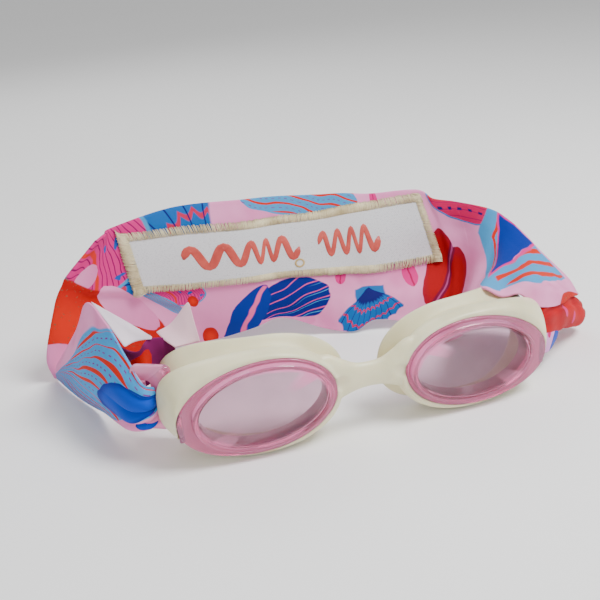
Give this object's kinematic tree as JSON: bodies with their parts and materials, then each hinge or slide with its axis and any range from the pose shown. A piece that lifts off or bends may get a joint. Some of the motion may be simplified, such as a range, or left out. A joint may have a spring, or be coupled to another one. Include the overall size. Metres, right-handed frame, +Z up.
{
  "type": "swim goggles",
  "caption": "Swim goggles with oval pink lenses in a soft cream frame and a wide shell-print fabric strap with a sewn patch, lying open on a table.",
  "frame": {"origin": "bottom centre of the whole object, on the table under it", "axes": "+Z up, +X towards the wearer's left, +Y back from the lenses towards the strap"},
  "size_m": [0.225, 0.11, 0.0643],
  "materials": {
    "lens_plastic": "tinted clear polycarbonate",
    "frame_rubber": "satin moulded elastomer",
    "seal_rubber": "soft satin elastomer, slightly translucent",
    "print_fabric": "printed polyester-elastane swim knit",
    "fabric_back": "unprinted side of the knit",
    "thread": "polyester sewing thread",
    "patch_twill": "fine twill",
    "patch_thread": "satin-stitch embroidery thread",
    "motif_thread": "woven or embroidered thread",
    "motif_gold": "embroidery thread"
  },
  "bodies": {
    "goggles": {"frame": "frame_rubber", "seal_right": "seal_rubber", "seal_left": "seal_rubber", "lens_right": "lens_plastic", "lens_left": "lens_plastic", "strap_loop_right": "print_fabric", "strap_loop_left": "print_fabric", "strap_bartack_right": "thread", "strap_bartack_left": "thread", "strap_tail_right": "fabric_back", "strap_tail_left": "fabric_back"},
    "strap_sides": {"strap_side_right": "print_fabric", "strap_side_left": "print_fabric"},
    "strap_back": {"strap_back": "print_fabric", "patch_face": "patch_twill", "patch_border": "patch_thread", "patch_wave_long": "motif_thread", "patch_wave_short": "motif_thread", "patch_ring": "motif_gold"}
  },
  "joints": [
    {"name": "strap_swing", "type": "hinge", "parent": "goggles", "child": "strap_sides", "pos_m": [0.0004, -0.0342, 0.024], "axis": [1, 0, 0], "range_deg": [0, 110]},
    {"name": "strap_stretch", "type": "slide", "parent": "strap_sides", "child": "strap_back", "axis": [0, 1, 0], "range_m": [0, 0.045], "stiffness_N_per_m": 80}
  ]
}
